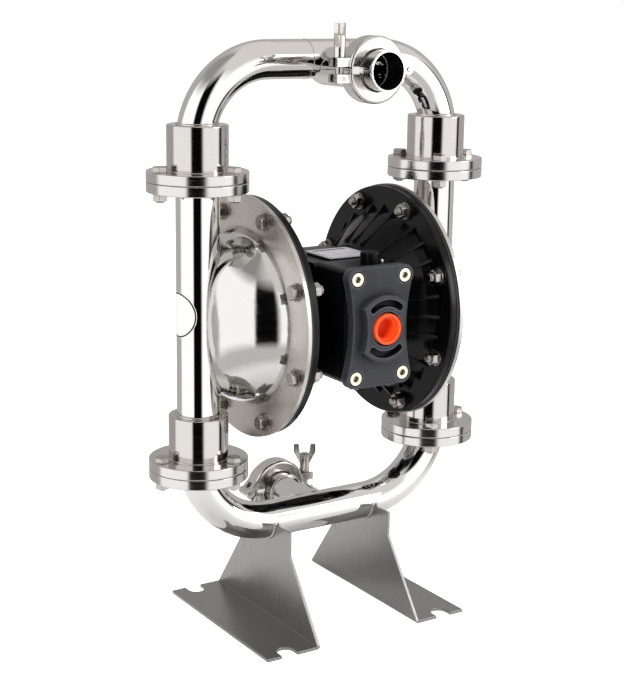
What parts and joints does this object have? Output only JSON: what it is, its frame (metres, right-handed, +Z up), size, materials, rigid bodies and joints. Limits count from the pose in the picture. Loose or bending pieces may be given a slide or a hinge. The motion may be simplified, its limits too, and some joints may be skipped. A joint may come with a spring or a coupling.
{
  "type": "air operated diaphragm pump",
  "caption": "Sanitary double diaphragm pump: polished steel columns and manifolds round black air chambers, clamped process ports, bent sheet feet.",
  "frame": {"origin": "middle of the footprint, on the surface the feet rest on", "axes": "+Z up, +X from the left column to the right one, discharge port towards -Y, suction port towards +Y"},
  "size_m": [0.378, 0.24, 0.6052],
  "materials": {
    "polished": "mirror polished stainless steel",
    "turned": "fine turned stainless steel",
    "brushed": "brushed matt stainless sheet",
    "cast_steel": "tumbled cast stainless steel",
    "steel": "bright stainless fasteners",
    "alloy": "satin aluminium",
    "black_plastic": "satin black moulded plastic",
    "grey_plastic": "textured charcoal moulded plastic",
    "orange_plastic": "glossy orange moulded plastic",
    "black_rubber": "black elastomer",
    "white_seal": "white fluoropolymer"
  },
  "bodies": {
    "pump_housing": {"discharge_manifold_tube": "polished", "suction_manifold_tube": "polished", "manifold_ferrules": "polished", "discharge_port_stub": "polished", "suction_port_stub": "polished", "port_gaskets": "white_seal", "discharge_clamp_upper": "cast_steel", "discharge_clamp_lower": "cast_steel", "suction_clamp_upper": "cast_steel", "suction_clamp_lower": "cast_steel", "clamp_pins": "steel", "suction_can_left": "polished", "suction_can_right": "polished", "discharge_can_left": "polished", "discharge_can_right": "polished", "suction_flange_left": "turned", "suction_flange_right": "turned", "column_lower_flange_left": "turned", "column_lower_flange_right": "turned", "column_upper_flange_left": "turned", "column_upper_flange_right": "turned", "discharge_flange_left": "turned", "discharge_flange_right": "turned", "column_tube_left": "polished", "column_tube_right": "polished", "fluid_cover_left": "polished", "fluid_cover_right": "polished", "valve_seats": "white_seal", "flange_bolts": "steel", "flange_nuts": "steel", "chamber_bolts": "steel", "chamber_nuts": "steel", "diaphragm_left": "black_rubber", "diaphragm_right": "black_rubber", "air_chamber_left": "black_plastic", "air_chamber_right": "black_plastic", "centre_body": "black_plastic", "air_valve_body": "black_plastic", "air_valve_cover": "grey_plastic", "cover_screws": "steel", "nameplate": "alloy", "vent_cap": "black_plastic", "exhaust_silencer": "grey_plastic", "foot_left": "brushed", "foot_right": "brushed"},
    "diaphragm_rod_assembly": {"diaphragm_rod": "turned", "fluid_side_plates": "turned", "air_side_plates": "alloy"},
    "pilot_rod_body": {"pilot_rod": "turned"},
    "spool_body": {"air_valve_spool": "alloy"},
    "plug_body": {"air_port_plug": "orange_plastic"},
    "suction_ball_left_body": {"suction_ball_left": "white_seal"},
    "suction_ball_right_body": {"suction_ball_right": "white_seal"},
    "discharge_ball_left_body": {"discharge_ball_left": "white_seal"},
    "discharge_ball_right_body": {"discharge_ball_right": "white_seal"},
    "discharge_swing_bolt_body": {"discharge_swing_bolt": "steel"},
    "suction_swing_bolt_body": {"suction_swing_bolt": "steel"},
    "discharge_wing_nut_body": {"discharge_wing_nut": "cast_steel"},
    "suction_wing_nut_body": {"suction_wing_nut": "cast_steel"}
  },
  "joints": [
    {"name": "diaphragm_stroke", "type": "slide", "parent": "pump_housing", "child": "diaphragm_rod_assembly", "axis": [1, 0, 0], "range_m": [-0.01, 0.01], "deforming": ["diaphragm_left", "diaphragm_right"]},
    {"name": "pilot_rod_shift", "type": "slide", "parent": "pump_housing", "child": "pilot_rod_body", "axis": [1, 0, 0], "range_m": [-0.004, 0.004]},
    {"name": "spool_shift", "type": "slide", "parent": "pump_housing", "child": "spool_body", "axis": [1, 0, 0], "range_m": [-0.0038, 0.0088]},
    {"name": "plug_pull", "type": "slide", "parent": "pump_housing", "child": "plug_body", "axis": [0, -1, 0], "range_m": [0, 0.03]},
    {"name": "suction_ball_left_lift", "type": "slide", "parent": "pump_housing", "child": "suction_ball_left_body", "axis": [0, 0, 1], "range_m": [0, 0.0125]},
    {"name": "suction_ball_right_lift", "type": "slide", "parent": "pump_housing", "child": "suction_ball_right_body", "axis": [0, 0, 1], "range_m": [0, 0.0125]},
    {"name": "discharge_ball_left_lift", "type": "slide", "parent": "pump_housing", "child": "discharge_ball_left_body", "axis": [0, 0, 1], "range_m": [0, 0.0125]},
    {"name": "discharge_ball_right_lift", "type": "slide", "parent": "pump_housing", "child": "discharge_ball_right_body", "axis": [0, 0, 1], "range_m": [0, 0.0125]},
    {"name": "discharge_bolt_swing", "type": "hinge", "parent": "pump_housing", "child": "discharge_swing_bolt_body", "pos_m": [-0.037, -0.0835, 0.555], "axis": [0, -1, 0], "range_deg": [0, 100]},
    {"name": "discharge_nut_back_off", "type": "slide", "parent": "discharge_swing_bolt_body", "child": "discharge_wing_nut_body", "axis": [0, 0, 1], "range_m": [0, 0.0145]},
    {"name": "suction_bolt_swing", "type": "hinge", "parent": "pump_housing", "child": "suction_swing_bolt_body", "pos_m": [0.037, 0.0835, 0.0975], "axis": [0, 1, 0], "range_deg": [0, 100]},
    {"name": "suction_nut_back_off", "type": "slide", "parent": "suction_swing_bolt_body", "child": "suction_wing_nut_body", "axis": [0, 0, 1], "range_m": [0, 0.0145]}
  ],
  "couplings": [
    {"joint": "pilot_rod_shift", "follows": "diaphragm_stroke", "ratio": 0.4},
    {"joint": "discharge_nut_back_off", "follows": "discharge_bolt_swing", "m_per_rad": 0.008},
    {"joint": "suction_nut_back_off", "follows": "suction_bolt_swing", "m_per_rad": 0.008}
  ]
}
